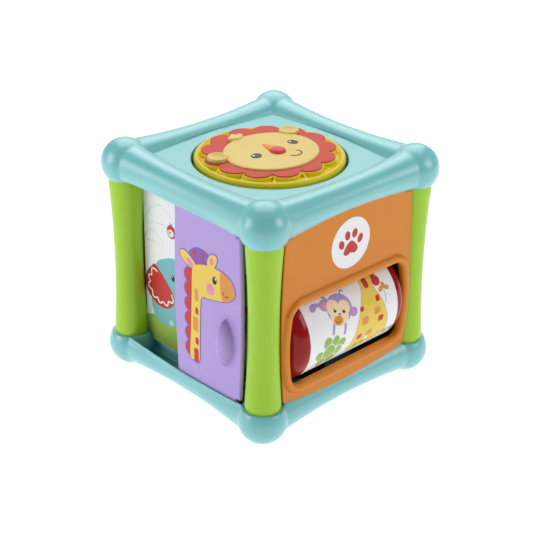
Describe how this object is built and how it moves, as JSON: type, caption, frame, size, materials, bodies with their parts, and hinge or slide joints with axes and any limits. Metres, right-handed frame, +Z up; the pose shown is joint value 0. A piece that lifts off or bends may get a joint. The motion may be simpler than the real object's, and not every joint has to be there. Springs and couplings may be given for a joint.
{
  "type": "baby activity cube",
  "caption": "Baby activity cube with waisted corner columns, a lion press button, picture roller, sliding door, mirror spinner and turning leaf page.",
  "frame": {"origin": "on the floor, under the centre of the cube", "axes": "+Z up; the roller is on the +X side, the sliding door on the -Y side, the leaf page on +Y and the mirror spinner on -X"},
  "size_m": [0.159, 0.159, 0.1602],
  "materials": {
    "aqua_plastic": "satin moulded polypropylene",
    "lime_plastic": "satin moulded polypropylene",
    "orange_plastic": "satin moulded ABS",
    "purple_plastic": "satin moulded ABS",
    "yellow_plastic": "gloss moulded ABS",
    "cream_plastic": "gloss moulded ABS",
    "nose_plastic": "sprayed gloss",
    "coral_plastic": "satin painted ABS",
    "red_plastic": "high gloss moulded ABS",
    "white_plastic": "satin moulded ABS",
    "printed_label": "printed vinyl, satin",
    "rubber_pad": "matt",
    "steel": "zinc plated",
    "mirror_foil": "polished acrylic mirror",
    "circuit_board": "solder mask",
    "black_plastic": "matt",
    "speaker_paper": "paper",
    "cell_wrap": "gloss wrap",
    "red_wire": "insulation",
    "black_wire": "insulation"
  },
  "bodies": {
    "cube": {"top_frame": "aqua_plastic", "bottom_frame": "aqua_plastic", "column_front": "lime_plastic", "column_left": "lime_plastic", "column_right": "lime_plastic", "column_back": "lime_plastic", "corner_screws": "steel", "foot_pads": "rubber_pad", "roller_panel": "orange_plastic", "panel_sticker": "printed_label", "drum_bracket_door_side": "orange_plastic", "drum_bracket_page_side": "orange_plastic", "bracket_screws": "steel", "drum_axle": "steel", "picture_panel": "white_plastic", "picture_label": "printed_label", "button_housing": "white_plastic", "housing_screws": "steel", "button_spring": "steel", "button_board": "circuit_board", "switch_dome": "rubber_pad", "mirror_panel": "yellow_plastic", "mirror_bezel": "aqua_plastic", "mirror_disc": "mirror_foil", "page_panel": "coral_plastic", "hinge_pin": "steel", "page_picture": "printed_label", "battery_box": "white_plastic", "battery_cells": "cell_wrap", "battery_contacts": "steel", "battery_door": "aqua_plastic", "battery_door_screw": "steel", "speaker_frame": "black_plastic", "speaker_cone": "speaker_paper", "speaker_magnet": "steel", "main_board": "circuit_board", "board_parts": "black_plastic", "button_lead": "red_wire", "battery_lead": "black_wire", "speaker_lead": "red_wire"},
    "button": {"button_disc": "yellow_plastic", "mane_plate": "coral_plastic", "lion_face": "cream_plastic", "lion_nose": "nose_plastic", "button_screw": "steel", "button_washer": "steel"},
    "door": {"sliding_door": "purple_plastic", "door_picture": "printed_label"},
    "drum": {"drum_tube": "white_plastic", "drum_label": "printed_label", "drum_cap_door_side": "red_plastic", "drum_cap_page_side": "red_plastic", "rattle_beads": "yellow_plastic"},
    "spinner": {"petal_ring": "purple_plastic"},
    "page": {"page_leaf": "lime_plastic"},
    "switch_knob": {"power_switch": "white_plastic"}
  },
  "joints": [
    {"name": "button_press", "type": "slide", "parent": "cube", "child": "button", "axis": [0, 0, -1], "range_m": [0, 0.0025], "stiffness_N_per_m": 800, "springref_m": -0.003, "deforming": ["button_spring", "switch_dome"]},
    {"name": "door_slide", "type": "slide", "parent": "cube", "child": "door", "axis": [-1, 0, 0], "range_m": [0, 0.0415]},
    {"name": "drum_spin", "type": "hinge", "parent": "cube", "child": "drum", "pos_m": [0.0475, 0, 0.0605], "axis": [0, 1, 0], "continuous": true},
    {"name": "spinner_spin", "type": "hinge", "parent": "cube", "child": "spinner", "pos_m": [-0.0715, 0, 0.08], "axis": [-1, 0, 0], "continuous": true},
    {"name": "page_turn", "type": "hinge", "parent": "cube", "child": "page", "pos_m": [0.046, 0.0746, 0.08], "axis": [0, 0, -1], "range_deg": [0, 150]},
    {"name": "power_slide", "type": "slide", "parent": "cube", "child": "switch_knob", "axis": [1, 0, 0], "range_m": [0, 0.004]}
  ]
}
